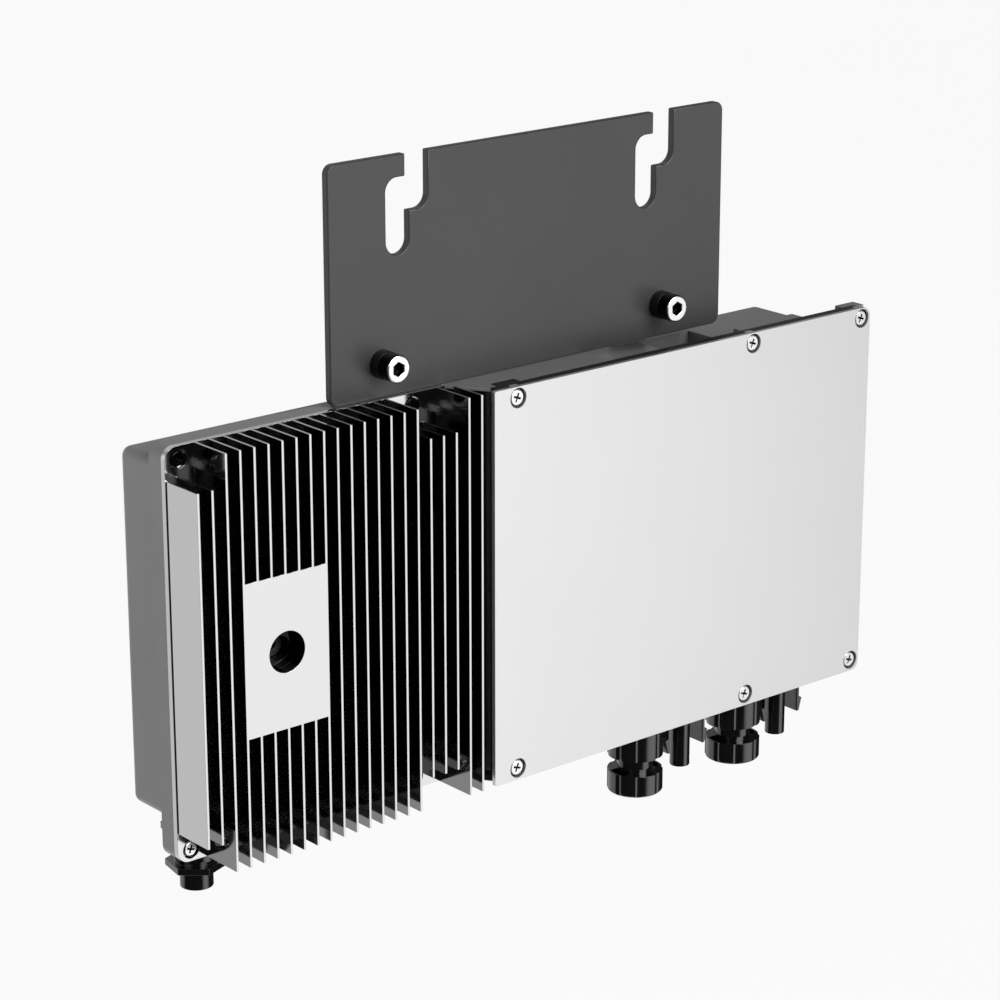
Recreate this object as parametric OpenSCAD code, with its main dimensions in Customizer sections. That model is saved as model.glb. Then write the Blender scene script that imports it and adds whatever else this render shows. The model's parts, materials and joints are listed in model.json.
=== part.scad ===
// Micro inverter: a finned heatsink and a flat cover close the front of a cast rear housing.
// Construction datum: X from the left side of the casting, Y from the fin tips towards the
// back, Z from the bottom of the casting. place() then moves the origin to the mount, midway
// between the two bolt seats on the bracket's rear face.

/* [Housing] */
// Overall width of the housing and its front cover
body_w = 275.5; // [265:0.5:290]
// Overall height of the housing
body_h = 130; // [128:0.5:140]
// Depth from the fin tips to the rear face
body_d = 41.3; // [41:0.1:50]
// Height of the tray's underside above the bottom of the casting
tray_z0 = 12; // [10:0.5:14]
// Height of the tray's top above the bottom of the casting
tray_z1 = 125; // [123:0.5:126]
// Wall thickness of the casting
wall = 2.2; // [1.8:0.1:2.6]

/* [Heatsink] */
// Number of fins
fin_count = 22; // [18:1:22]
// Distance between fins
fin_pitch = 5; // [4.8:0.1:5]
// Thickness of a fin
fin_t = 0.8; // [0.8:0.1:1.5]
// Length of a fin from its tip to the base plate
fin_l = 15.4; // [14:0.1:16]
// How much shorter a fin is at each end where it clears a screw
fin_relief = 10; // [8:0.5:12]
// Diameter of the filling port's counterbore
port_d = 13; // [11:0.5:14]

/* [Front cover] */
// Left edge of the cover
panel_x0 = 110.75; // [108:0.25:112]
// Thickness of the cover sheet
panel_t = 1.5; // [1:0.1:2]
// Thickness of the cover's gasket
gasket_t = 1.7; // [1:0.1:2]

/* [Bracket] */
// Width of the bracket
bracket_w = 160; // [150:1:180]
// Height of the bracket above the casting
bracket_h = 73.75; // [70:0.25:90]
// Thickness of the bracket
bracket_t = 2.7; // [2:0.1:2.8]
// Distance between the two hanging slots
slot_pitch = 100.6; // [90:0.2:104]
// Width of the slots, for M8 bolts
slot_w = 8.7; // [8.4:0.1:9]
// Sideways step between a slot's mouth and its seat
slot_step = 7.4; // [7:0.1:8]
// Distance between the bracket's screws
bracket_screw_pitch = 114; // [108:1:118]

/* [Connectors] */
// Position of the first DC socket along X
dc_x = 187.25; // [184:0.25:190]
// Distance from a DC socket to the DC plug beside it
dc_pair = 20.65; // [20.5:0.05:21]
// Distance between the two pairs of DC connectors
dc_pitch = 45.6; // [45:0.1:46]
// Outer diameter of a DC socket's collar
dc_collar_d = 18.8; // [18.6:0.1:19.2]
// Outer diameter of a DC plug's nose
dc_nose_d = 6.8; // [6.4:0.1:7]
// Outer diameter of the AC receptacle's nose
ac_nose_d = 10.4; // [10:0.1:11]

/* [Hidden] */
$fn = 48;
eps = 0.01;

// Depth levels, from the front
base_t = 1.9;
fin_centre = 0.75;
split_y = fin_l + base_t;
flange_y1 = split_y + 6.2;
rim_y0 = panel_t + gasket_t;
rim_y1 = rim_y0 + 1.7;
boss_y1 = 8.2;
inner_y1 = body_d - wall;

// Housing outline
tray_x0 = 1.15;
tray_x1 = 262;
tray_r = 3;
cavity_r = 1;
flange_r = 4;
bay_x0 = 60;
ledge_x1 = 163;
recess_x0 = 196.7;
recess_x1 = 219.6;
recess_z = 112;
recess_y1 = 29.7;
opening_z0 = 16;
opening_z1 = 121;
opening_x0 = 8;
opening_x1 = 99;
rim_r = 2.5;
rim_screw_l = 4.4;
corner_boss_w = 8.5;
corner_boss_h = 5;
middle_boss_w = 8;
middle_boss_h = 8;
post_boss_r = 3.3;
post_boss_y1 = 13;
lug_hole_l = 6.5;
ear_notch_w = 4.8;
ear_notch_h = 1.2;
lip_x0 = 113;
lip_end = 3.5;
lip_h = 0.8;
groove_low = [5.6, 13.4];
groove_high = [102.2, 123.4];
groove_w = 1.2;
tab_low = [0.4, 8.8];
tab_high = [3.4, 11];

// The heatsink's base turns forward along a sloping web to meet the cover
web_x0 = 103.65;
web_slope = 0.685;
web_shift = 1.94;
web_z = 0.8;

// Bracket
bracket_y0 = split_y + 0.05;
bracket_y1 = bracket_y0 + bracket_t;
bracket_x = body_w / 2 + slot_step / 2;
bracket_r = 3;
seat_z = 192.5;
slot_low_z = 177.65;
slot_shelf_z = 186.3;
bracket_screw_z = 140.6;
lug_r = 6.5;
lug_foot_t = 3.5;
lug_foot_y0 = recess_y1 + 1;
lug_y1 = lug_foot_y0 + lug_foot_t;

// Screws
m3_r = 1.5;
m3_head_r = 2.8;
m3_head_h = 1.6;
m5_r = 2.5;
m5_head_r = 4.4;
m5_head_h = 5;
m5_hex_af = 4;
spring_washer_t = 1.3;
panel_recess_r = 3.25;
cup_t = 0.6;
cup_floor_t = 0.8;
panel_recess_h = rim_y0 - cup_floor_t;
seal_ring_t = 0.3;
gasket_eye_r = 6;
panel_screw_x = [120.2, 220.9, 271.6];
panel_screw_z = [4, 126.4];
flange_screw_x = [4.8, 90.75];
flange_screw_z = [3.8, 126];
flange_recess_r = 2.95;
flange_recess_h = 1.3;
flange_head_r = 2.55;
flange_head_h = 1.1;

// Filling port and pad
pad_x = 30.75;
pad_w = 30;
pad_z = 65;
pad_h = 48.5;
port_depth = 4;
port_bore_r = 3.8;
spigot_y1 = 20.5;
plug_y0 = 8;
plug_y1 = 16;

// Connectors
dc_y = 18;
dc_body_r = 6.2;
dc_thread_r = 4.8;
dc_seal_r = 8;
dc_nut_r = 6.9;
pocket_r = 8.7;
pocket_w = 7;
flute_r = 2;
flute_depth = 0.45;
dc_bore_r = 3.6;
dc_mouth_z = -26.8;
dc_collar_z = -19.4;
dc_sleeve_z = -14;
dc_seal_t = 1;
dc_contact_r = 2;
dc_stop_z = -4;
dc_nose_z = -23.4;
dc_pin_r = 1.5;
latch_x = 8;
latch_t = 1;
latch_w = 6.6;
latch_z = 4;
latch_tip_z = -16.85;
latch_root_r = 1.4;
latch_gap = 0.3;
hook_top_z = -11.65;
hook_l = 1.3;
nut_h = 3.6;
nut_r = 8.6;
ac_nut_y = 6.9;
thread_top_z = 20;
ac_x = 17.45;
ac_nut_gap = 0.4;
ac_y = inner_y1 - ac_nut_y - ac_nut_gap;
ac_body_r = 6.5;
ac_hex_r = 9.6;
ac_hex_a = 20;
ac_hex_z = -8.4;
ac_hex_h = 2.1;
ac_mouth_z = -17;
ac_bore_r = 4.2;
ac_pin_count = 3;
ac_pin_r = 0.8;
ac_pin_pcr = 2.4;

// Circuit board and what stands on it
pcb_x0 = 12;
pcb_x1 = 256;
pcb_z0 = 26;
pcb_z1 = 117;
pcb_y0 = inner_y1 - 5.7;
pcb_t = 1.6;
pcb_y1 = pcb_y0 + pcb_t;
pcb_holes = [for (x = [17, 112, 245], z = [31, 112]) [x, z]];
post_r = 3;
transistor_x = [for (i = [0 : 3]) 26 + 20 * i];
transistor_z = [38, 94];
transistor_size = [10, 4.5, 15];
pad_t = 0.5;
transformer_x = [146, 214];
transformer_pos_z = 76;
core_w = 40;
core_h = 28;
core_plate = 5;
core_y0 = 9;
core_y1 = pcb_y0 - 1;
core_post_r = 7;
winding_r = 12.6;
capacitor_x = [172, 190, 208, 226];
capacitor_z = 44;
capacitor_r = 8;
capacitor_l = 22;
choke_x = 42;
choke_pos_z = 66;
choke_r = 11;
choke_bore_r = 6;
film_x = 180;
film_z = [88, 104];
film_w = 26;
film_h = 11;
relay_x0 = 70;
relay_x1 = 98;
relay_z = [46, 64];
relay_h = 12;
box_d = 11;
varistor_x = [20, 62];
varistor_z = 66;
varistor_r = 5;
fuse_x0 = 26;
fuse_z = 48.5;
fuse_r = 2.6;
fuse_l = 18;
control_x0 = 120;
control_x1 = 158;
control_z = 104;
control_t = 1.2;
header_h = 3;
chip_x = 139;
chip_w = 12;

// Moves the origin from the casting's corner to the midpoint of the two bolt seats
module place() {
  translate([-body_w / 2, -bracket_y1, -seat_z]) children();
}

// A cylinder along +Y from y0 to y1 at x, z
module y_rod(x, z, r, y0, y1) {
  translate([x, y0, z]) rotate([-90, 0, 0]) cylinder(r = r, h = y1 - y0);
}

// A cylinder along Z from z0 to z1 at x, y
module z_rod(x, y, r, z0, z1) {
  translate([x, y, z0]) cylinder(r = r, h = z1 - z0);
}

// An XZ outline given as [x, z] points, extruded from y0 to y1
module xz_slab(y0, y1) {
  translate([0, y1, 0]) rotate([90, 0, 0]) linear_extrude(y1 - y0) children();
}

// A block between two corners
module block(low, high) {
  translate(low) cube(high - low);
}

// A rectangle with rounded corners between two corners
module soft_rect(low, high, r) {
  for (x = [low.x + r, high.x - r], z = [low.y + r, high.y - r]) translate([x, z]) circle(r = r);
  translate([low.x + r, low.y]) square([high.x - low.x - 2 * r, high.y - low.y]);
  translate([low.x, low.y + r]) square([high.x - low.x, high.y - low.y - 2 * r]);
}

// A block with rounded upright edges and a rounded rear edge
module soft_block(x0, x1, y0, y1, z0, z1, r) {
  xz_slab(y0, y1 - r) soft_rect([x0, z0], [x1, z1], r);
  block([x0 + r, y0, z0 + r], [x1 - r, y1, z1 - r]);
  for (z = [z0 + r, z1 - r]) {
    translate([x0 + r, y1 - r, z]) rotate([0, 90, 0]) cylinder(r = r, h = x1 - x0 - 2 * r);
  }
  for (x = [x0 + r, x1 - r]) {
    z_rod(x, y1 - r, r, z0 + r, z1 - r);
    for (z = [z0 + r, z1 - r]) translate([x, y1 - r, z]) sphere(r = r);
  }
}

// A rectangular ring in XZ, between y0 and y1, w wide
module xz_ring(low, high, w, y0, y1) {
  xz_slab(y0, y1) difference() {
    translate(low) square(high - low);
    translate(low + [w, w]) square(high - low - [2 * w, 2 * w]);
  }
}

// Where the web's rear face stands at depth y
function web_back_x(y) = web_x0 + web_shift + (fin_l - y) * web_slope;

// Everything to the right of the web's rear face, shifted by d
module right_of_web(d) {
  translate([0, 0, -eps]) linear_extrude(body_h + 2 * eps) polygon([
    [web_back_x(-1) + d, -1], [body_w + 1, -1], [body_w + 1, body_d], [web_back_x(body_d) + d, body_d]
  ]);
}

// Height outline of the bay behind the cover, drawn in by t all round
module bay_outline(t) {
  polygon([
    [bay_x0, t], [ledge_x1 - t, t], [ledge_x1 + tray_z0 - t, tray_z0 + t], [tray_x1 - t, tray_z0 + t],
    [tray_x1 - t, tray_z1 - t], [ledge_x1 - t, tray_z1 - t], [ledge_x1 - t, body_h - t],
    [bay_x0, body_h - t]
  ]);
}

module flange_holes(r, y0, y1) {
  for (x = flange_screw_x, z = flange_screw_z) y_rod(x, z, r, y0, y1);
}

module panel_holes(r, y0, y1) {
  for (x = panel_screw_x, z = panel_screw_z) y_rod(x, z, r, y0, y1);
}

module dc_holes(r, z0, z1) {
  for (i = [0, 1], dx = [0, dc_pair]) z_rod(dc_x + i * dc_pitch + dx, dc_y, r, z0, z1);
}

// Cast boss behind the bracket, carried by a foot that stands on the tray behind the recess
module bracket_lug(x) {
  y_rod(x, bracket_screw_z, lug_r, bracket_y1, lug_y1);
  block([x - lug_r, lug_foot_y0, tray_z1 - 1], [x + lug_r, lug_y1, bracket_screw_z]);
}

module housing_outside() {
  soft_block(tray_x0, tray_x1, flange_y1 - 3, body_d, tray_z0, tray_z1, tray_r);
  xz_slab(split_y, flange_y1) soft_rect([0, 0], [ledge_x1, body_h], flange_r);
  intersection() {
    xz_slab(rim_y1 - 0.5, flange_y1) bay_outline(0);
    right_of_web(0);
  }
  intersection() {
    xz_slab(rim_y0, rim_y1) soft_rect([panel_x0 - 5, 0], [body_w, body_h], rim_r);
    right_of_web(0);
  }
  for (z = panel_screw_z) {
    block([body_w - corner_boss_w, rim_y0, max(0, z - corner_boss_h)],
      [body_w, boss_y1, min(body_h, z + corner_boss_h)]);
    block([panel_screw_x[1] - middle_boss_w / 2, rim_y0, max(0, z - middle_boss_h)],
      [panel_screw_x[1] + middle_boss_w / 2, boss_y1, min(body_h, z + middle_boss_h)]);
  }
  for (i = [-1, 1]) bracket_lug(body_w / 2 + i * bracket_screw_pitch / 2);
  block([tab_low.x, flange_y1 - 1, tab_low.y], [tab_high.x, flange_y1 + 1.4, tab_high.y]);
}

// The recess in the top together with the walls round it, which the cavity leaves standing
module recess_shell() {
  block([recess_x0 - wall, rim_y0 - 2, recess_z - wall], [recess_x1 + wall, recess_y1 + wall, body_h]);
}

module housing_cavity() {
  block([opening_x0, split_y - 1, opening_z0], [opening_x1, inner_y1, opening_z1]);
  difference() {
    soft_block(tray_x0 + wall, tray_x1 - wall, flange_y1, inner_y1, tray_z0 + wall, tray_z1 - wall, cavity_r);
    recess_shell();
  }
  intersection() {
    difference() {
      xz_slab(rim_y0 - 1, inner_y1 - 2) bay_outline(wall);
      recess_shell();
      block([bay_x0, flange_y1 - wall, tray_z1 - wall], [ledge_x1 + 5, inner_y1, body_h]);
      block([bay_x0, flange_y1 - wall, -1], [ledge_x1 + tray_z0 + 5, inner_y1, tray_z0 + wall]);
    }
    right_of_web(wall * 1.22);
  }
}

module rear_housing() {
  color("#85878a") difference() {
    union() {
      difference() {
        housing_outside();
        housing_cavity();
        block([recess_x0, rim_y1, recess_z], [recess_x1, recess_y1, body_h + 1]);
      }
      intersection() {
        panel_holes(post_boss_r, rim_y0, post_boss_y1);
        union() {
          xz_slab(rim_y0, post_boss_y1) bay_outline(0);
          panel_holes(post_boss_r, rim_y0, rim_y1);
        }
        right_of_web(0.3);
      }
      for (p = pcb_holes) y_rod(p.x, p.y, post_r, pcb_y1, inner_y1 + 0.5);
    }
    flange_holes(m3_r, split_y - 1, split_y + 5);
    panel_holes(m3_r, rim_y0 - 1, rim_y0 + rim_screw_l);
    for (i = [-1, 1]) {
      y_rod(body_w / 2 + i * bracket_screw_pitch / 2, bracket_screw_z, m5_r,
        bracket_y1 - 1, bracket_y1 + lug_hole_l);
    }
    for (p = pcb_holes) y_rod(p.x, p.y, m3_r, pcb_y1 - 1, pcb_y1 + 3.4);
    dc_holes(dc_thread_r, tray_z0 - 1, tray_z0 + wall + 1);
    z_rod(ac_x, ac_y, ac_body_r, tray_z0 - 1, tray_z0 + wall + 1);
    // Seat for the AC lock nut, cut square into the cavity's rounded edge
    block([ac_x - nut_r - 0.2, ac_y, tray_z0 + wall],
      [ac_x + nut_r + 0.2, inner_y1, tray_z0 + wall + cavity_r]);
    // Rebate along the top of the rim, which the cover gasket's lip fills
    block([lip_x0, rim_y0 - 1, body_h - lip_h], [body_w - lip_end, rim_y1, body_h + 1]);
    xz_ring(groove_low, groove_high, groove_w, split_y - 1, split_y + 1);
    block([panel_screw_x[0] - ear_notch_w, rim_y0 - 1, body_h - ear_notch_h],
      [panel_screw_x[0] + ear_notch_w, boss_y1, body_h + 1]);
  }
}

// Plan of one fin, by its number: the last ones grow out of the sloping web
module fin(i) {
  short = i < 2 || (i > 16 && i < 20);
  z0 = short ? fin_relief : 0;
  x = i * fin_pitch + fin_centre - fin_t / 2;
  root = x > web_x0 ? fin_l - (x - web_x0) / web_slope : fin_l;
  block([x, 0, z0], [x + fin_t, root + 0.5, body_h - z0]);
}

module heatsink() {
  color("#d9dadb") difference() {
    union() {
      intersection() {
        translate([0, 0, web_z]) linear_extrude(body_h - 2 * web_z) polygon([
          [90, fin_l], [web_x0, fin_l], [web_back_x(panel_t + 0.1) - web_shift, panel_t + 0.1],
          [web_back_x(panel_t + 0.1), panel_t + 0.1], [web_back_x(split_y), split_y], [90, split_y]
        ]);
        xz_slab(0, split_y) square([body_w, body_h]);
      }
      xz_slab(fin_l, split_y) {
        soft_rect([0, 0], [60, body_h], flange_r);
        translate([40, 0]) square([web_x0 - 40, body_h]);
      }
      block([opening_x0 + 1, split_y, opening_z0 + 1], [opening_x1 - 1, spigot_y1, opening_z1 - 1]);
      for (i = [0 : fin_count - 1]) fin(i);
      block([pad_x - pad_w / 2, 0, pad_z - pad_h / 2], [pad_x + pad_w / 2, fin_l, pad_z + pad_h / 2]);
    }
    flange_holes(m3_r + 0.2, 0, split_y + 1);
    flange_holes(flange_recess_r, fin_l - 3, fin_l + flange_recess_h);
    y_rod(pad_x, pad_z, port_d / 2, -1, port_depth);
    y_rod(pad_x, pad_z, port_bore_r, -1, spigot_y1 + 1);
  }
}

module heatsink_gasket() {
  color("#1a1a1a") xz_ring(groove_low, groove_high, groove_w, split_y, split_y + 1);
}

// Cross-shaped driver recess in a screw head whose face is at y
module cross_recess(x, z, y, size) {
  for (a = [0, 90]) translate([x, y, z]) rotate([0, a + 20, 0]) {
    cube([size, 1.6, size / 4.5], center = true);
  }
}

// Pan-head screw along +Y: face, underside of the head, and tip
module pan_screw(x, z, head_r, face, seat, tip) {
  difference() {
    union() {
      y_rod(x, z, head_r, face + 0.5, seat);
      translate([x, face, z]) rotate([-90, 0, 0]) cylinder(r1 = head_r - 0.5, r2 = head_r, h = 0.5);
      y_rod(x, z, m3_r, seat - 0.2, tip);
    }
    cross_recess(x, z, face, head_r * 1.05);
  }
}

module heatsink_screws() {
  seat = fin_l + flange_recess_h;
  color("#c9cacb") for (x = flange_screw_x, z = flange_screw_z) {
    pan_screw(x, z, flange_head_r, seat - flange_head_h, seat, split_y + 5);
  }
}

module fill_plug() {
  color("#141414") difference() {
    union() {
      y_rod(pad_x, pad_z, port_bore_r, plug_y0, plug_y1 - 2);
      y_rod(pad_x, pad_z, port_bore_r - 0.4, plug_y1 - 3, plug_y1);
    }
    y_rod(pad_x, pad_z, 1.6, plug_y0 - 1, plug_y0 + 2.5);
  }
}

module panel_outline() {
  soft_rect([panel_x0 + 20, 0], [body_w, body_h], 3);
  soft_rect([panel_x0, 0], [body_w - 20, body_h], 0.6);
}

// A sheet with a pressed cup at each screw, whose floor lands on the casting
module front_panel() {
  color("#e4e4e5") difference() {
    union() {
      xz_slab(0, panel_t) panel_outline();
      intersection() {
        panel_holes(panel_recess_r + cup_t, 0, rim_y0);
        xz_slab(0, rim_y0) panel_outline();
      }
    }
    panel_holes(m3_r + 0.2, -1, rim_y0 + 1);
    panel_holes(panel_recess_r, -1, panel_recess_h);
  }
}

// A ring with an eye round each cup, a lip along its top edge and an ear at the top left screw
module panel_gasket() {
  low = [115.9, 0.3];
  high = [body_w - 0.3, body_h - 0.3];
  color("#161616") difference() {
    union() {
      xz_ring(low, high, 7.6, panel_t, rim_y0);
      intersection() {
        panel_holes(gasket_eye_r, panel_t, rim_y0);
        xz_slab(panel_t, rim_y0) translate(low) square(high - low);
      }
      block([lip_x0, panel_t, body_h - lip_h], [body_w - lip_end, rim_y1, body_h]);
      block([panel_screw_x[0] - 4.3, rim_y0, body_h - ear_notch_h],
        [panel_screw_x[0] + 4.8, boss_y1, body_h]);
    }
    panel_holes(panel_recess_r + cup_t + 0.1, panel_t - 1, rim_y0);
    // The ring passes inside the two right-hand screws, which stand too near its corners
    block([panel_screw_x[2], panel_t - 1, panel_screw_z[1]], [body_w + 1, rim_y0, body_h + 1]);
    block([panel_screw_x[2], panel_t - 1, -1], [body_w + 1, rim_y0, panel_screw_z[0]]);
  }
}

module panel_screw_seals() {
  color("#101010") difference() {
    panel_holes(panel_recess_r - 0.05, panel_recess_h - seal_ring_t, panel_recess_h);
    panel_holes(m3_r + 0.2, 0, rim_y0);
  }
}

module panel_screws() {
  seat = panel_recess_h - seal_ring_t;
  color("#cfcfd0") for (x = panel_screw_x, z = panel_screw_z) {
    pan_screw(x, z, m3_head_r, seat - m3_head_h, seat, rim_y0 + rim_screw_l);
  }
}

// One hanging slot: a mouth open at the top edge, stepping sideways to the seat slot
module hanging_slot(x) {
  r = slot_w / 2;
  mouth = x + slot_step;
  for (z = [slot_low_z, seat_z]) y_rod(x, z, r, bracket_y0 - 1, bracket_y1 + 1);
  block([x - r, bracket_y0 - 1, slot_low_z], [x + r, bracket_y1 + 1, seat_z]);
  y_rod(mouth, slot_shelf_z + r, r, bracket_y0 - 1, bracket_y1 + 1);
  block([mouth - r, bracket_y0 - 1, slot_shelf_z + r], [mouth + r, bracket_y1 + 1, body_h + bracket_h + 1]);
  block([x, bracket_y0 - 1, slot_shelf_z], [mouth, bracket_y1 + 1, seat_z + r]);
}

module bracket() {
  color("#58595b") difference() {
    xz_slab(bracket_y0, bracket_y1) soft_rect(
      [bracket_x - bracket_w / 2, body_h], [bracket_x + bracket_w / 2, body_h + bracket_h], bracket_r);
    for (i = [-1, 1]) {
      hanging_slot(body_w / 2 + i * slot_pitch / 2);
      y_rod(body_w / 2 + i * bracket_screw_pitch / 2, bracket_screw_z, m5_r + 0.25,
        bracket_y0 - 1, bracket_y1 + 1);
    }
  }
}

// Levels of the bracket screw's stack, from the plate forwards
spacer_y0 = bracket_y0 - 2.25;
spring_y0 = spacer_y0 - spring_washer_t;
head_y0 = spring_y0 - m5_head_h;

module bracket_screw(x) {
  difference() {
    union() {
      y_rod(x, bracket_screw_z, m5_head_r, head_y0 + 0.4, spring_y0);
      translate([x, head_y0, bracket_screw_z]) rotate([-90, 0, 0]) {
        cylinder(r1 = m5_head_r - 0.4, r2 = m5_head_r, h = 0.4);
      }
      y_rod(x, bracket_screw_z, m5_r, spring_y0 - 0.5, bracket_y1 + lug_hole_l);
    }
    translate([x, head_y0 - 1, bracket_screw_z]) rotate([-90, 30, 0]) {
      cylinder(r = m5_hex_af / sqrt(3), h = 3.5, $fn = 6);
    }
  }
}

module bracket_screws() {
  color("#b8b9ba") for (i = [-1, 1]) bracket_screw(body_w / 2 + i * bracket_screw_pitch / 2);
}

module bracket_spring_washers() {
  color("#8f9092") for (i = [-1, 1]) difference() {
    x = body_w / 2 + i * bracket_screw_pitch / 2;
    y_rod(x, bracket_screw_z, m5_head_r + 0.1, spring_y0, spacer_y0);
    y_rod(x, bracket_screw_z, m5_r, spring_y0 - 1, spacer_y0 + 1);
    translate([x + 2, spring_y0 - 1, bracket_screw_z - 0.3]) cube([4, 4, 0.6]);
  }
}

module bracket_spacers() {
  color("#1d1d1e") for (i = [-1, 1]) difference() {
    x = body_w / 2 + i * bracket_screw_pitch / 2;
    y_rod(x, bracket_screw_z, m5_head_r + 0.1, spacer_y0, bracket_y0);
    y_rod(x, bracket_screw_z, m5_r, spacer_y0 - 1, bracket_y0 + 1);
  }
}

// Grip flutes round a collar
module flutes(x, y, r, z0, z1, count) {
  for (i = [0 : count - 1]) {
    a = (i + 0.25) * 360 / count;
    d = r + flute_r - flute_depth;
    z_rod(x + d * cos(a), y + d * sin(a), flute_r, z0 - 1, z1 + 1);
  }
}

function pair_x(n) = dc_x + (n - 1) * dc_pitch;

// Pockets on both sides of a DC socket's collar, which the mating plug's latch arms pass through
module latch_pockets(x) {
  difference() {
    z_rod(x, dc_y, pocket_r, dc_mouth_z - 1, dc_collar_z + 1);
    z_rod(x, dc_y, dc_body_r, dc_mouth_z - 2, dc_collar_z + 2);
    for (y = [dc_y - pocket_r - 1, dc_y + pocket_w / 2]) {
      translate([x - pocket_r - 1, y, dc_mouth_z - 2]) {
        cube([2 * pocket_r + 2, pocket_r + 1 - pocket_w / 2, dc_collar_z - dc_mouth_z + 4]);
      }
    }
  }
}

module dc_socket(n) {
  x = pair_x(n);
  r = dc_collar_d / 2;
  color("#161617") difference() {
    union() {
      z_rod(x, dc_y, dc_thread_r, tray_z0 - dc_seal_t - 1, thread_top_z);
      z_rod(x, dc_y, dc_body_r, dc_mouth_z, tray_z0 - dc_seal_t);
      difference() {
        union() {
          z_rod(x, dc_y, r, dc_mouth_z + 0.5, dc_collar_z);
          translate([x, dc_y, dc_mouth_z]) cylinder(r1 = r - 0.5, r2 = r, h = 0.5);
        }
        flutes(x, dc_y, r, dc_mouth_z, dc_collar_z, 8);
        latch_pockets(x);
      }
    }
    z_rod(x, dc_y, dc_bore_r, dc_mouth_z - 1, dc_stop_z);
    z_rod(x, dc_y, dc_contact_r, dc_stop_z - 1, thread_top_z + 1);
  }
}

module dc_socket_sleeve(n) {
  x = pair_x(n);
  r = dc_collar_d / 2;
  z1 = tray_z0 - dc_seal_t;
  color("#1b1b1c") difference() {
    z_rod(x, dc_y, r, dc_sleeve_z, z1);
    z_rod(x, dc_y, dc_body_r, dc_sleeve_z - 1, z1 + 1);
    flutes(x, dc_y, r, dc_sleeve_z, z1 - 5, 8);
  }
}

module dc_socket_contact(n) {
  x = pair_x(n);
  color("#c8a45a") difference() {
    z_rod(x, dc_y, dc_contact_r, dc_stop_z, thread_top_z + 1);
    z_rod(x, dc_y, dc_pin_r, dc_stop_z - 1, 8);
  }
}

module dc_plug(n) {
  x = pair_x(n) + dc_pair;
  z1 = tray_z0 - dc_seal_t;
  color("#161617") difference() {
    union() {
      z_rod(x, dc_y, dc_thread_r, z1 - 1, thread_top_z);
      z_rod(x, dc_y, dc_seal_r, z1 - 2, z1);
      z_rod(x, dc_y, dc_nose_d / 2, dc_nose_z, z1);
      block([x - latch_x - 2.2, dc_y - 4.4, latch_z], [x + latch_x + 2.2, dc_y + 4.4, z1]);
      z_rod(x, dc_y, 4.6, -2, latch_z + 1);
    }
    z_rod(x, dc_y, 2.1, dc_nose_z - 1, dc_stop_z);
    z_rod(x, dc_y, dc_pin_r, dc_stop_z - 1, thread_top_z + 1);
    for (i = [-1, 1]) y_rod(x + i * latch_x, latch_z, latch_root_r + latch_gap, dc_y - 6, dc_y + 6);
  }
}

// Latch arm of a DC plug; side is -1 on the left and 1 on the right
module dc_latch(n, side) {
  x = pair_x(n) + dc_pair + side * latch_x;
  h = latch_t / 2;
  color("#1b1b1c") {
    y_rod(x, latch_z, latch_root_r, dc_y - latch_w / 2, dc_y + latch_w / 2);
    translate([x, 0, 0]) xz_slab(dc_y - latch_w / 2, dc_y + latch_w / 2) polygon([
      [-side * h, latch_z], [side * h, latch_z], [side * h, hook_top_z],
      [side * (h + hook_l), hook_top_z - 0.5], [side * h, latch_tip_z], [-side * h, latch_tip_z]
    ]);
  }
}

module dc_plug_pin(n) {
  x = pair_x(n) + dc_pair;
  color("#c9c9ca") {
    z_rod(x, dc_y, dc_pin_r, dc_nose_z + 3, thread_top_z + 1);
    translate([x, dc_y, dc_nose_z + 3]) sphere(r = dc_pin_r);
  }
}

module dc_seals() {
  color("#2a2a2b") difference() {
    dc_holes(dc_seal_r, tray_z0 - dc_seal_t, tray_z0);
    dc_holes(dc_thread_r, tray_z0 - 2, tray_z0 + 1);
  }
}

// Hexagonal lock nut inside the tray: its corner radius is outer_r, and its thread's is r
module lock_nut(x, y, outer_r, r) {
  z0 = tray_z0 + wall;
  difference() {
    translate([x, y, z0]) rotate([0, 0, 30]) cylinder(r = outer_r, h = nut_h, $fn = 6);
    z_rod(x, y, r, z0 - 1, z0 + nut_h + 1);
  }
}

module dc_inner_nuts() {
  color("#2d2d2e") for (i = [0, 1], dx = [0, dc_pair]) {
    lock_nut(dc_x + i * dc_pitch + dx, dc_y, dc_nut_r, dc_thread_r);
  }
}

// Insulated lead: up from z0, round a quarter bend, then along +Y into the board
module lead(x, y, r, z0, z1, bend) {
  z_rod(x, y, r, z0, z1 - bend);
  translate([x, y + bend, z1 - bend]) rotate([90, 0, -90]) {
    rotate_extrude(angle = 90) translate([bend, 0]) circle(r = r);
  }
  y_rod(x, z1, r, y + bend, pcb_y0);
}

module dc_leads() {
  color("#b02020") for (i = [0, 1], dx = [0, dc_pair]) {
    lead(dc_x + i * dc_pitch + dx, dc_y, 1.3, thread_top_z + 1, 32, 4);
  }
}

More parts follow.
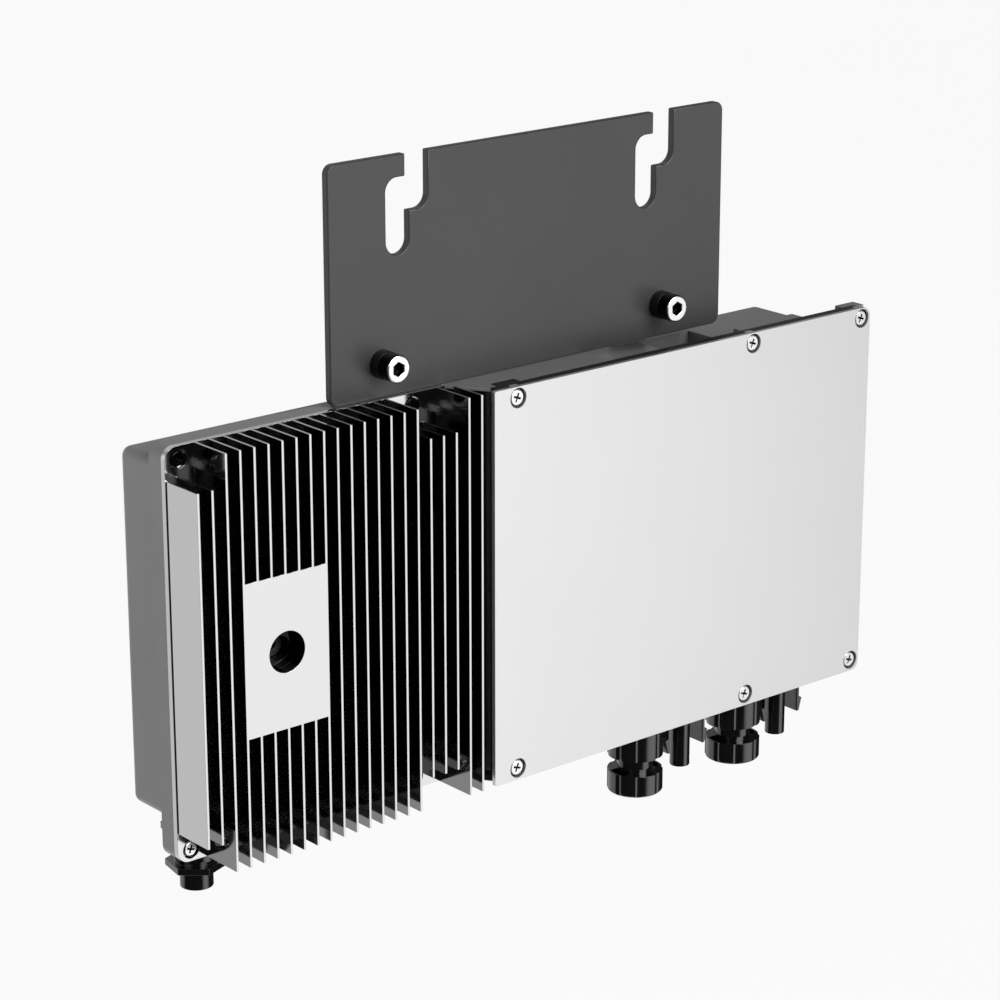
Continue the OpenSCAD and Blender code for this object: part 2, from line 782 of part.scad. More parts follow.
module ac_receptacle() {
  z1 = tray_z0 - 1;
  color("#161617") difference() {
    union() {
      z_rod(ac_x, ac_y, ac_body_r, ac_hex_z - 1, thread_top_z);
      translate([ac_x, ac_y, z1 - 3]) rotate([0, 0, ac_hex_a]) cylinder(r = nut_r, h = 3, $fn = 6);
      translate([ac_x, ac_y, ac_hex_z - ac_hex_h]) rotate([0, 0, ac_hex_a]) {
        cylinder(r = ac_hex_r, h = ac_hex_h, $fn = 6);
      }
      z_rod(ac_x, ac_y, ac_nose_d / 2, ac_mouth_z, ac_hex_z);
    }
    z_rod(ac_x, ac_y, ac_bore_r, ac_mouth_z - 1, -2);
    for (p = [0 : ac_pin_count - 1]) {
      a = p * 360 / ac_pin_count + 90;
      z_rod(ac_x + ac_pin_pcr * cos(a), ac_y + ac_pin_pcr * sin(a), ac_pin_r, -3, thread_top_z + 1);
    }
  }
}

module ac_pins() {
  color("#c8a45a") for (p = [0 : ac_pin_count - 1]) {
    a = p * 360 / ac_pin_count + 90;
    z_rod(ac_x + ac_pin_pcr * cos(a), ac_y + ac_pin_pcr * sin(a), ac_pin_r, ac_mouth_z + 5, thread_top_z + 1);
  }
}

module ac_seal() {
  color("#2a2a2b") difference() {
    z_rod(ac_x, ac_y, ac_body_r + 1.4, tray_z0 - 1, tray_z0);
    z_rod(ac_x, ac_y, ac_body_r, tray_z0 - 2, tray_z0 + 1);
  }
}

module ac_inner_nut() {
  color("#2d2d2e") intersection() {
    lock_nut(ac_x, ac_y, nut_r, ac_body_r);
    block([0, ac_y - ac_nut_y, 0], [60, ac_y + ac_nut_y, 40]);
  }
}

module ac_leads() {
  color("#7a4a21") for (p = [1, 2]) {
    a = p * 360 / ac_pin_count + 90;
    lead(ac_x + ac_pin_pcr * cos(a), ac_y + ac_pin_pcr * sin(a), 0.7, thread_top_z + 1, 36, 2);
  }
}

module main_pcb() {
  color("#1f5c35") difference() {
    xz_slab(pcb_y0, pcb_y1) soft_rect([pcb_x0, pcb_z0], [pcb_x1, pcb_z1], 2);
    for (p = pcb_holes) y_rod(p.x, p.y, m3_r + 0.1, pcb_y0 - 1, pcb_y1 + 1);
  }
}

module pcb_screws() {
  color("#c9cacb") for (p = pcb_holes) {
    pan_screw(p.x, p.y, m3_head_r, pcb_y0 - m3_head_h, pcb_y0, pcb_y1 + 3.4);
  }
}

module insulation_sheet() {
  color("#d8c9a0") difference() {
    block([pcb_x0 - 2, inner_y1 - 0.4, pcb_z0 - 3], [pcb_x1 + 2, inner_y1, pcb_z1 + 2]);
    for (p = pcb_holes) y_rod(p.x, p.y, post_r + 0.2, inner_y1 - 1, inner_y1 + 1);
  }
}

module power_transistors() {
  s = transistor_size;
  y0 = spigot_y1 + pad_t;
  color("#202022") for (x = transistor_x, z = transistor_z) {
    difference() {
      block([x - s.x / 2, y0, z - s.z / 2], [x + s.x / 2, y0 + s.y, z + s.z / 2]);
      y_rod(x, z + s.z / 2 - 3.5, 1.7, y0 + 1.4, y0 + s.y + 1);
    }
    for (dx = [-2.5, 0, 2.5]) {
      block([x + dx - 0.4, y0 + 2, z - s.z / 2 - 3], [x + dx + 0.4, y0 + 2.6, z - s.z / 2]);
      block([x + dx - 0.4, y0 + 2, z - s.z / 2 - 3.6], [x + dx + 0.4, pcb_y0, z - s.z / 2 - 3]);
    }
  }
}

module thermal_pads() {
  color("#9fb7c8") for (x = transistor_x, z = transistor_z) {
    block([x - 6, spigot_y1, z - 8.5], [x + 6, spigot_y1 + pad_t, z + 8.5]);
  }
}

// Ferrite core: two plates joined by side legs and a round centre post along Y
module transformer_core(n) {
  x = transformer_x[n - 1];
  z = transformer_pos_z;
  w = core_w / 2;
  h = core_h / 2;
  color("#3b3c3f") {
    for (y = [core_y0, core_y1 - core_plate]) {
      block([x - w, y, z - h], [x + w, y + core_plate, z + h]);
    }
    for (i = [-1, 1]) {
      block([x + i * (w - 2.5) - 2.5, core_y0 + 1, z - h], [x + i * (w - 2.5) + 2.5, core_y1 - 1, z + h]);
    }
    y_rod(x, z, core_post_r, core_y0 + 1, core_y1 - 1);
  }
}

module transformer_bobbin(n) {
  x = transformer_x[n - 1];
  y0 = core_y0 + core_plate + 0.1;
  y1 = core_y1 - core_plate - 0.1;
  color("#1d2b24") difference() {
    union() {
      y_rod(x, transformer_pos_z, core_post_r + 1.3, y0, y1);
      y_rod(x, transformer_pos_z, winding_r + 1, y0, y0 + 0.9);
      y_rod(x, transformer_pos_z, winding_r + 1, y1 - 0.9, y1);
      for (i = [-1, 1]) {
        block([x - 12, y1 - 0.9, transformer_pos_z + i * 17 - 3],
          [x + 12, pcb_y0, transformer_pos_z + i * 17 + 3]);
        block([x - 8, y1 - 0.9, transformer_pos_z + min(i * 17, i * 9)],
          [x + 8, y1, transformer_pos_z + max(i * 17, i * 9)]);
      }
    }
    y_rod(x, transformer_pos_z, core_post_r + 0.1, y0 - 1, y1 + 1);
    block([x - core_w / 2 - 0.1, y1 + eps, transformer_pos_z - core_h / 2],
      [x + core_w / 2 + 0.1, core_y1, transformer_pos_z + core_h / 2]);
  }
}

module transformer_winding(n) {
  x = transformer_x[n - 1];
  y0 = core_y0 + core_plate + 1;
  y1 = core_y1 - core_plate - 1;
  color("#c9a13b") difference() {
    y_rod(x, transformer_pos_z, winding_r, y0, y1);
    y_rod(x, transformer_pos_z, core_post_r + 1.3, y0 - 1, y1 + 1);
  }
}

module input_capacitors() {
  color("#23262b") for (x = capacitor_x) {
    difference() {
      y_rod(x, capacitor_z, capacitor_r, pcb_y0 - capacitor_l, pcb_y0);
      difference() {
        y_rod(x, capacitor_z, capacitor_r + 1, pcb_y0 - 3.6, pcb_y0 - 2.8);
        y_rod(x, capacitor_z, capacitor_r - 0.5, pcb_y0 - 4, pcb_y0 - 2);
      }
    }
  }
}

module film_capacitors() {
  color("#d0a22a") for (z = film_z) xz_slab(pcb_y0 - box_d, pcb_y0) {
    soft_rect([film_x - film_w / 2, z - film_h / 2], [film_x + film_w / 2, z + film_h / 2], 1);
  }
}

module choke_core() {
  color("#2f4f3a") difference() {
    y_rod(choke_x, choke_pos_z, choke_r, pcb_y0 - 10, pcb_y0 - 2);
    y_rod(choke_x, choke_pos_z, choke_bore_r, pcb_y0 - 11, pcb_y0);
  }
}

// Two windings, each a wedge of thick wire wound round the toroid
module choke_windings() {
  color("#b0652a") for (side = [0, 180]) difference() {
    translate([choke_x, pcb_y0, choke_pos_z]) rotate([90, side + 30, 0]) {
      rotate_extrude(angle = 120) translate([choke_bore_r - 1.2, 0]) {
        square([choke_r - choke_bore_r + 2.4, 11.2]);
      }
    }
    difference() {
      y_rod(choke_x, choke_pos_z, choke_r, pcb_y0 - 10, pcb_y0 - 2);
      y_rod(choke_x, choke_pos_z, choke_bore_r, pcb_y0 - 11, pcb_y0);
    }
  }
}

module grid_relays() {
  color("#2456a3") for (z = relay_z) {
    xz_slab(pcb_y0 - box_d, pcb_y0) soft_rect([relay_x0, z], [relay_x1, z + relay_h], 0.6);
  }
}

module surge_varistors() {
  color("#2b5fa8") for (x = varistor_x) y_rod(x, varistor_z, varistor_r, pcb_y0 - 5, pcb_y0);
}

module ac_fuse() {
  color("#d9d2c0") {
    translate([fuse_x0, pcb_y0 - 3, fuse_z]) rotate([0, 90, 0]) cylinder(r = fuse_r, h = fuse_l);
    for (x = [fuse_x0 + 2, fuse_x0 + fuse_l - 3]) {
      block([x, pcb_y0 - 3, fuse_z - 0.4], [x + 1, pcb_y0, fuse_z + 0.4]);
    }
  }
}

module control_board() {
  color("#23402c") block([control_x0, pcb_y0 - 20, control_z],
    [control_x1, pcb_y0 - header_h, control_z + control_t]);
}

module control_header() {
  color("#18181a") block([control_x0 + 2, pcb_y0 - header_h, control_z - 0.8],
    [control_x1 - 2, pcb_y0, control_z + control_t + 0.8]);
}

module control_chip() {
  z0 = control_z + control_t;
  color("#0f0f10") block([chip_x - chip_w / 2, pcb_y0 - 16, z0], [chip_x + chip_w / 2, pcb_y0 - 6, z0 + 1.2]);
}

place() rear_housing();
place() heatsink();
place() heatsink_gasket();
place() heatsink_screws();
place() fill_plug();
place() front_panel();
place() panel_gasket();
place() panel_screw_seals();
place() panel_screws();
place() bracket();
place() bracket_screws();
place() bracket_spring_washers();
place() bracket_spacers();
place() dc_socket(1);  // dc_socket_1
place() dc_socket(2);  // dc_socket_2
place() dc_socket_sleeve(1);  // dc_socket_sleeve_1
place() dc_socket_sleeve(2);  // dc_socket_sleeve_2
place() dc_socket_contact(1);  // dc_socket_contact_1
place() dc_socket_contact(2);  // dc_socket_contact_2
place() dc_plug(1);  // dc_plug_1
place() dc_plug(2);  // dc_plug_2
place() dc_latch(1, -1);  // dc_latch_1_left
place() dc_latch(1, 1);  // dc_latch_1_right
place() dc_latch(2, -1);  // dc_latch_2_left
place() dc_latch(2, 1);  // dc_latch_2_right
place() dc_plug_pin(1);  // dc_plug_pin_1
place() dc_plug_pin(2);  // dc_plug_pin_2
place() dc_seals();
place() dc_inner_nuts();
place() dc_leads();
place() ac_receptacle();
place() ac_pins();
place() ac_seal();
place() ac_inner_nut();
place() ac_leads();
place() main_pcb();
place() pcb_screws();
place() insulation_sheet();
place() power_transistors();
place() thermal_pads();
place() transformer_core(1);  // transformer_core_1
place() transformer_core(2);  // transformer_core_2
place() transformer_bobbin(1);  // transformer_bobbin_1
place() transformer_bobbin(2);  // transformer_bobbin_2
place() transformer_winding(1);  // transformer_winding_1
place() transformer_winding(2);  // transformer_winding_2
place() input_capacitors();
place() film_capacitors();
place() choke_core();
place() choke_windings();
place() grid_relays();
place() surge_varistors();
place() ac_fuse();
place() control_board();
place() control_header();
place() control_chip();
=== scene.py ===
"""Micro inverter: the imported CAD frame, with softened copies of its outer pieces and their finishes."""
import json
import math

import bmesh
import bpy
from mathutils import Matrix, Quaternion, Vector

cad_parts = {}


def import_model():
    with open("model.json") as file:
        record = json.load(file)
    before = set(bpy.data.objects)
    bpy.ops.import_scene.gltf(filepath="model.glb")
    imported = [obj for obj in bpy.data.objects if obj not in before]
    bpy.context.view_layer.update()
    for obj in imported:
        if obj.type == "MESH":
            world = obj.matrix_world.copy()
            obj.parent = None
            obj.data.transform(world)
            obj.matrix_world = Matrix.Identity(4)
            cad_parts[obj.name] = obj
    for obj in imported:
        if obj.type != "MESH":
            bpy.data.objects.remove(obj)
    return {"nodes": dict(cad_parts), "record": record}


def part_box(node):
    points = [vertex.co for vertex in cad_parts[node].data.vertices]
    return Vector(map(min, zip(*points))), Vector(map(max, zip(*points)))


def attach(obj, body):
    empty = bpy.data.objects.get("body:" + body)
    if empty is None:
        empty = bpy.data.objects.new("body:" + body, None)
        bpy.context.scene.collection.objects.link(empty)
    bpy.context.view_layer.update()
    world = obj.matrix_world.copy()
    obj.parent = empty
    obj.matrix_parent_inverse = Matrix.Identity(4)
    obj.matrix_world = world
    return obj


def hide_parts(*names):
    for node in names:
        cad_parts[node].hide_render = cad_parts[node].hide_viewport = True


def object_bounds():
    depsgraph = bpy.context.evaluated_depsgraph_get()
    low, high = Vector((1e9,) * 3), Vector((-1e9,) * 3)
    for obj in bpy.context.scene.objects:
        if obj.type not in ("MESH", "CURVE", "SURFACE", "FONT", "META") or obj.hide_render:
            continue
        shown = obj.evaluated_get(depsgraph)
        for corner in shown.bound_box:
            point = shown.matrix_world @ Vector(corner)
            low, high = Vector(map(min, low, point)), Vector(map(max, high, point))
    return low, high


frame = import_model()
cad_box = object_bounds()
body_of_node = {n: b for b, nodes in frame["record"]["behaviour"]["bodies"].items() for n in nodes}
slot_of_node = {s["node"]: s["material_slot"] for s in frame["record"]["subparts"]}
scene = bpy.context.scene
scene.view_settings.view_transform = "Standard"

MM = 0.001

# Black oxide on the spacers, and the painted shade of the filling port and of the screw sides
BLACK_OXIDE_AND_SHADE = (0.012, 0.012, 0.013)
BRIGHT = (0.9, 0.9, 0.9)
# Noise features to the metre along x, y and z: extrusion lines run along z
EXTRUDED = (2600.0, 2600.0, 26.0)
# Painted shade on the fins' sides: how much of a fin's brightness its sides keep, and the x normal from which
# a face counts as a side
SIDE_SHADE = 0.42
SIDE_NORMAL = (0.6, 0.9)
# Where the metal's own colour gives way to painted shade, as distances from a face or a rim
OUTER_FACE_FADE = (0.5 * MM, 0.8 * MM)
PORT_WALL_FADE = (0.35 * MM, 0.6 * MM)
PORT_RIM_FADE = (0.3 * MM, 0.1 * MM)
SCREW_FACE_FADE = (0.15 * MM, 0.35 * MM)
SCREW_SHADE_FADE = (0.0, 1.0 * MM)
# Period in metres of Blender's wave texture at scale 1
WAVE_PERIOD = 0.314


# ---------------------------------------------------------------- node helpers
class Nodes:
    """A material's node tree, with short calls for what every finish uses."""

    def __init__(self, name):
        self.material = bpy.data.materials.new(name)
        self.material.use_nodes = True
        self.tree = self.material.node_tree
        self.tree.nodes.clear()
        self.shader = self.add("ShaderNodeBsdfPrincipled")
        out = self.add("ShaderNodeOutputMaterial")
        self.link(self.shader.outputs["BSDF"], out.inputs["Surface"])
        texture = self.add("ShaderNodeTexCoord")
        self.coords = texture.outputs["Object"]
        self.normal = texture.outputs["Normal"]

    def add(self, kind):
        return self.tree.nodes.new(kind)

    def link(self, a, b):
        self.tree.links.new(a, b)

    def combine(self, operation, a, b):
        """A math node on two sockets."""
        node = self.add("ShaderNodeMath")
        node.operation = operation
        self.link(a, node.inputs[0])
        self.link(b, node.inputs[1])
        return node.outputs["Value"]

    def blend(self, factor, low, rgb):
        """The colour of socket low where factor is 0, and rgb where it is 1."""
        node = self.add("ShaderNodeMix")
        node.data_type = "RGBA"
        self.link(factor, node.inputs["Factor"])
        self.link(low, node.inputs["A"])
        node.inputs["B"].default_value = (*rgb, 1.0)
        return node.outputs["Result"]

    def stretch(self, scale):
        """Object coordinates multiplied along each axis."""
        node = self.add("ShaderNodeMapping")
        node.inputs["Scale"].default_value = scale
        self.link(self.coords, node.inputs["Vector"])
        return node.outputs["Vector"]

    def noise(self, scale, detail=3.0, vector=None):
        """Noise from 0 to 1, with scale features to the metre."""
        node = self.add("ShaderNodeTexNoise")
        node.inputs["Scale"].default_value = scale
        node.inputs["Detail"].default_value = detail
        self.link(vector or self.coords, node.inputs["Vector"])
        return node.outputs["Fac"]

    def ramp(self, value, stops):
        """Value to colour, through (position, rgb) stops."""
        node = self.add("ShaderNodeValToRGB")
        band = node.color_ramp
        while len(band.elements) < len(stops):
            band.elements.new(0.5)
        for element, (position, rgb) in zip(band.elements, stops):
            element.position = position
            element.color = (*rgb, 1.0)
        self.link(value, node.inputs["Fac"])
        return node.outputs["Color"]

    def tint(self, value, rgb, dark, light, spread=0.2):
        """From rgb times dark to rgb times light, over the middle of a noise's range."""
        return self.ramp(value, [(0.5 - spread, shade(rgb, dark)), (0.5 + spread, shade(rgb, light))])

    def remap(self, value, low, high):
        """A value from 0 to 1, spread between low and high."""
        node = self.add("ShaderNodeMapRange")
        node.inputs["To Min"].default_value = low
        node.inputs["To Max"].default_value = high
        self.link(value, node.inputs["Value"])
        return node.outputs["Result"]

    def bump(self, height, distance):
        node = self.add("ShaderNodeBump")
        node.inputs["Distance"].default_value = distance
        node.inputs["Strength"].default_value = 1.0
        self.link(height, node.inputs["Height"])
        self.link(node.outputs["Normal"], self.shader.inputs["Normal"])

    def along(self, axis):
        """One object coordinate, in metres."""
        node = self.add("ShaderNodeSeparateXYZ")
        self.link(self.coords, node.inputs["Vector"])
        return node.outputs[axis]

    def step(self, value, low, high):
        """From 0 at low to 1 at high. Low may be the larger of the two."""
        node = self.add("ShaderNodeMapRange")
        node.inputs["From Min"].default_value = low
        node.inputs["From Max"].default_value = high
        self.link(value, node.inputs["Value"])
        return node.outputs["Result"]

    def past(self, axis, place, fade):
        """0 until fade[0] beyond place along an axis, and 1 from fade[1] beyond it."""
        return self.step(self.along(axis), place + fade[0], place + fade[1])


def shade(rgb, k):
    return tuple(min(1.0, c * k) for c in rgb)


# ---------------------------------------------------------------- finishes
def coated(
    name, rgb, rough, metallic=0.0, grain=1400.0, depth=0.02 * MM, coat=0.0, drift=0.055, uneven=0.05
):
    """Powder coat, paint or sand-cast metal: fine orange peel and slow colour drift."""
    n = Nodes(name)
    n.link(n.tint(n.noise(18.0, 4.0), rgb, 1 - drift, 1 + drift), n.shader.inputs["Base Color"])
    n.link(n.remap(n.noise(120.0), rough - uneven, rough + uneven), n.shader.inputs["Roughness"])
    n.shader.inputs["Metallic"].default_value = metallic
    n.shader.inputs["Coat Weight"].default_value = coat
    if depth > 0.0:
        n.bump(n.noise(grain, 2.0), depth)
    return n.material


def drawn_metal(name, rgb, rough, lines):
    """Turned or drawn metal: fine lines along the axis with the smallest number in lines."""
    n = Nodes(name)
    streaks = n.noise(1.0, 2.0, n.stretch(lines))
    n.link(n.tint(streaks, rgb, 0.95, 1.03, 0.15), n.shader.inputs["Base Color"])
    n.link(n.remap(streaks, rough - 0.03, rough + 0.03), n.shader.inputs["Roughness"])
    n.shader.inputs["Metallic"].default_value = 1.0
    n.bump(streaks, 0.0012 * MM)
    return n.material


def finned_metal(name, rgb, rough, outer_x, port):
    """Extruded heatsink: tips and outer face at outer_x in the metal's colour, and painted shade darkening
    the fin sides between the fins.
    """
    n = Nodes(name)
    streaks = n.noise(1.0, 2.0, n.stretch(EXTRUDED))
    bright = n.tint(streaks, rgb, 0.992, 1.006, 0.15)
    across = n.add("ShaderNodeSeparateXYZ")
    n.link(n.normal, across.inputs["Vector"])
    sideways = n.add("ShaderNodeMath")
    sideways.operation = "ABSOLUTE"
    n.link(across.outputs["X"], sideways.inputs[0])
    faces_sideways = n.step(sideways.outputs["Value"], *SIDE_NORMAL)
    # Painted shade: fin sides past the outer face keep only SIDE_SHADE of the metal's brightness
    side_shade_mask = n.combine("MULTIPLY", faces_sideways, n.past("X", outer_x, OUTER_FACE_FADE))
    shaded_fins = n.blend(side_shade_mask, bright, shade(rgb, SIDE_SHADE))
    # Painted shade darkens the filling port, a round hole along y below the face of the pad
    centre, radius, face_y = port
    offset = n.add("ShaderNodeVectorMath")
    offset.operation = "SUBTRACT"
    n.link(n.stretch((1.0, 0.0, 1.0)), offset.inputs[0])
    offset.inputs[1].default_value = centre
    reach = n.add("ShaderNodeVectorMath")
    reach.operation = "LENGTH"
    n.link(offset.outputs["Vector"], reach.inputs[0])
    within_radius = n.step(reach.outputs["Value"], *(radius + fade for fade in PORT_RIM_FADE))
    port_shade = n.combine("MULTIPLY", within_radius, n.past("Y", face_y, PORT_WALL_FADE))
    n.link(n.blend(port_shade, shaded_fins, BLACK_OXIDE_AND_SHADE), n.shader.inputs["Base Color"])
    n.link(n.remap(streaks, rough - 0.006, rough + 0.006), n.shader.inputs["Roughness"])
    n.shader.inputs["Metallic"].default_value = 1.0
    n.bump(streaks, 0.0003 * MM)
    return n.material


def moulded(name, rgb, rough, depth=0.006 * MM, gloss=0.5):
    """Injection-moulded plastic or rubber."""
    n = Nodes(name)
    n.link(n.tint(n.noise(60.0), rgb, 0.8, 1.25), n.shader.inputs["Base Color"])
    n.link(n.remap(n.noise(300.0), rough - 0.03, rough + 0.05), n.shader.inputs["Roughness"])
    n.shader.inputs["Specular IOR Level"].default_value = gloss
    n.bump(n.noise(2200.0, 2.0), depth)
    return n.material


def bright_faced(name, face_rgb, shaded_side_rgb, face_y, shaded_above=None):
    """Screws with bright faces at face_y and sides darkened by painted shade. Those higher than shaded_above
    are painted dark all over, also as painted shade.
    """
    n = Nodes(name)
    # Painted shade: the sides behind the face take the dark side colour
    screw_shade = n.past("Y", face_y, SCREW_FACE_FADE)
    if shaded_above is not None:
        # Painted shade: screws above this height are coloured dark all over
        screw_shade = n.combine("MAXIMUM", screw_shade, n.past("Z", shaded_above, SCREW_SHADE_FADE))
    n.link(n.ramp(screw_shade, [(0.0, face_rgb), (1.0, shaded_side_rgb)]), n.shader.inputs["Base Color"])
    n.link(n.remap(n.noise(900.0), 0.2, 0.32), n.shader.inputs["Roughness"])
    n.shader.inputs["Metallic"].default_value = 1.0
    n.bump(n.noise(2500.0, 2.0), 0.004 * MM)
    return n.material


def circuit_board(name, rgb):
    """Solder mask over faint copper tracks."""
    n = Nodes(name)
    tracks = n.add("ShaderNodeTexBrick")
    tracks.inputs["Scale"].default_value = 160.0
    tracks.inputs["Mortar Size"].default_value = 0.03
    tracks.inputs["Color1"].default_value = (*rgb, 1.0)
    tracks.inputs["Color2"].default_value = (*shade(rgb, 0.8), 1.0)
    tracks.inputs["Mortar"].default_value = (*shade(rgb, 1.7), 1.0)
    flat = n.add("ShaderNodeMapping")
    flat.inputs["Rotation"].default_value = (math.pi / 2, 0.0, 0.0)
    n.link(n.coords, flat.inputs["Vector"])
    n.link(flat.outputs["Vector"], tracks.inputs["Vector"])
    n.link(tracks.outputs["Color"], n.shader.inputs["Base Color"])
    n.link(n.remap(n.noise(200.0), 0.25, 0.4), n.shader.inputs["Roughness"])
    n.bump(tracks.outputs["Fac"], 0.03 * MM)
    return n.material


def wound_wire(name, rgb, pitch):
    """Turns of enamelled wire laid side by side, one every pitch metres."""
    n = Nodes(name)
    turns = n.add("ShaderNodeTexWave")
    turns.bands_direction = "Y"
    turns.inputs["Scale"].default_value = WAVE_PERIOD / pitch
    turns.inputs["Distortion"].default_value = 0.3
    n.link(n.coords, turns.inputs["Vector"])
    # Painted shade: the colour drops to 0.45 of the wire's in the grooves between turns
    n.link(n.ramp(turns.outputs["Fac"], [(0.0, shade(rgb, 0.45)), (0.6, rgb)]), n.shader.inputs["Base Color"])
    n.link(n.remap(n.noise(400.0), 0.22, 0.36), n.shader.inputs["Roughness"])
    n.shader.inputs["Metallic"].default_value = 0.9
    n.bump(turns.outputs["Fac"], 0.15 * MM)
    return n.material


# The filling port: its axis, radius and the face of the pad round it
PORT_RADIUS = 6.5 * MM
plug_low, plug_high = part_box("fill_plug")
filling_port = (
    ((plug_low.x + plug_high.x) / 2, 0.0, (plug_low.z + plug_high.z) / 2),
    PORT_RADIUS,
    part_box("heatsink")[0].y,
)

FINISHES = {
    "housing_cast": coated("cast_grey", (0.215, 0.217, 0.22), 0.42, metallic=0.12, grain=1100.0, coat=0.1),
    "heatsink_metal": finned_metal(
        "fin_metal", (0.62, 0.62, 0.625), 0.1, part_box("heatsink")[0].x, filling_port
    ),
    "cover_sheet": coated(
        "cover_silver", (0.67, 0.67, 0.675), 0.24, metallic=0.75, depth=0.0, drift=0.008, uneven=0.008
    ),
    "bracket_sheet": coated("bracket_grey", (0.052, 0.052, 0.053), 0.38, metallic=0.3, depth=0.01 * MM),
    "screw_steel": drawn_metal("screw_zinc", (0.86, 0.86, 0.87), 0.22, (1800.0, 300.0, 1800.0)),
    "black_rubber": moulded("seal_rubber", (0.008, 0.008, 0.008), 0.55),
    "black_polymer": moulded("connector_black", (0.004, 0.004, 0.0045), 0.1, depth=0.002 * MM, gloss=1.0),
    "spacer_black": coated("black_oxide", BLACK_OXIDE_AND_SHADE, 0.35, metallic=0.6),
    "contact_metal": drawn_metal("contact_tin", (0.78, 0.66, 0.42), 0.18, (400.0, 400.0, 3000.0)),
    "board_green": circuit_board("solder_mask", (0.02, 0.13, 0.05)),
    "wire_red": moulded("lead_red", (0.33, 0.02, 0.02), 0.42),
    "wire_brown": moulded("lead_brown", (0.16, 0.07, 0.03), 0.42),
    "sheet_tan": moulded("insulating_film", (0.52, 0.42, 0.24), 0.5),
    "chip_black": moulded("epoxy_black", (0.014, 0.014, 0.015), 0.45),
    "pad_blue": moulded("gap_pad", (0.26, 0.38, 0.48), 0.65),
    "ferrite": coated("ferrite_grey", (0.035, 0.035, 0.04), 0.5, metallic=0.2, depth=0.03 * MM),
    "bobbin_plastic": moulded("bobbin", (0.014, 0.02, 0.016), 0.4),
    "copper_winding": wound_wire("copper_turns", (0.62, 0.3, 0.1), 0.8 * MM),
    "capacitor_sleeve": moulded("capacitor_film", (0.02, 0.024, 0.034), 0.25),
    "film_yellow": moulded("film_box", (0.55, 0.34, 0.03), 0.35),
    "choke_green": coated("choke_coat", (0.02, 0.09, 0.045), 0.35, depth=0.03 * MM),
    "relay_blue": moulded("relay_case", (0.015, 0.07, 0.28), 0.3),
    "fuse_ceramic": moulded("fuse_body", (0.6, 0.56, 0.46), 0.2),
}
# Painted shade: the upper screws of the heatsink are coloured dark all over
screws_low, screws_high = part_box("heatsink_screws")
SHADED_ABOVE = {"heatsink_screws": (screws_low.z + screws_high.z) / 2}
BRIGHT_FACED = {
    node: bright_faced(node + "_steel", BRIGHT, BLACK_OXIDE_AND_SHADE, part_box(node)[0].y, SHADED_ABOVE.get(node))
    for node in ("bracket_screws", "panel_screws", "heatsink_screws")
}
dark_steel = coated("dark_spring_steel", (0.02, 0.02, 0.021), 0.3, metallic=0.8)
OWN_FINISH = {"bracket_spring_washers": dark_steel, **BRIGHT_FACED}


def finish(obj, material):
    obj.data.materials.clear()
    obj.data.materials.append(material)


for node, obj in frame["nodes"].items():
    for slot in obj.material_slots:
        slot.material = FINISHES[slot_of_node[node]]


# ---------------------------------------------------------------- softened copies of the outer pieces
# Vertices nearer than WELD are one, faces within FLAT_DEGREES are one, edges over SHARP_DEGREES are round
WELD = 0.002 * MM
FLAT_DEGREES = 0.6
SHARP_DEGREES = 28.0


def soften(node, width, material=None):
    """A copy of a CAD node whose sharp edges are rounded by width. It stands for the node."""
    source = frame["nodes"][node]
    mesh = source.data.copy()
    mesh.transform(source.matrix_world)
    b = bmesh.new()
    b.from_mesh(mesh)
    bmesh.ops.remove_doubles(b, verts=b.verts, dist=WELD)
    bmesh.ops.dissolve_limit(b, angle_limit=math.radians(FLAT_DEGREES), verts=b.verts, edges=b.edges)
    b.to_mesh(mesh)
    b.free()
    piece = bpy.data.objects.new(node + "_soft", mesh)
    scene.collection.objects.link(piece)
    finish(piece, material or FINISHES[slot_of_node[node]])
    bevel = piece.modifiers.new("round_edges", "BEVEL")
    bevel.width = width
    bevel.segments = 2
    bevel.limit_method = "ANGLE"
    bevel.angle_limit = math.radians(SHARP_DEGREES)
    bevel.use_clamp_overlap = True
    # Flat faces keep their own normal next to a rounded edge, so that they reflect flat
    flat = piece.modifiers.new("flat_faces", "WEIGHTED_NORMAL")
    flat.mode = "FACE_AREA"
    flat.weight = 100
    flat.keep_sharp = True
    for p in mesh.polygons:
        p.use_smooth = True
    mesh.set_sharp_from_angle(angle=math.radians(SHARP_DEGREES))
    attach(piece, body_of_node[node])
    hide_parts(node)


# Width of the rounded edges in mm
EDGES = {
    "rear_housing": 0.45, "heatsink": 0.1, "front_panel": 0.3, "bracket": 0.35,
    "panel_gasket": 0.15, "fill_plug": 0.3, "bracket_spacers": 0.15, "bracket_spring_washers": 0.12,
    "panel_screws": 0.12, "heatsink_screws": 0.14, "bracket_screws": 0.2, "ac_receptacle": 0.25,
    "dc_socket_1": 0.25, "dc_socket_2": 0.25, "dc_socket_sleeve_1": 0.25, "dc_socket_sleeve_2": 0.25,
    "dc_plug_1": 0.25, "dc_plug_2": 0.25, "dc_latch_1_left": 0.15, "dc_latch_1_right": 0.15,
    "dc_latch_2_left": 0.15, "dc_latch_2_right": 0.15,
}
for node, width in EDGES.items():
    soften(node, width * MM, material=OWN_FINISH.get(node))


# ---------------------------------------------------------------- stage, light and camera
low, high = cad_box
middle = (Vector(low) + Vector(high)) / 2

# In metres, and the strength of the floor's own light
FLOOR_HALF = 14.0
FLOOR_DROP = 0.22
FLOOR_GLOW = 0.925


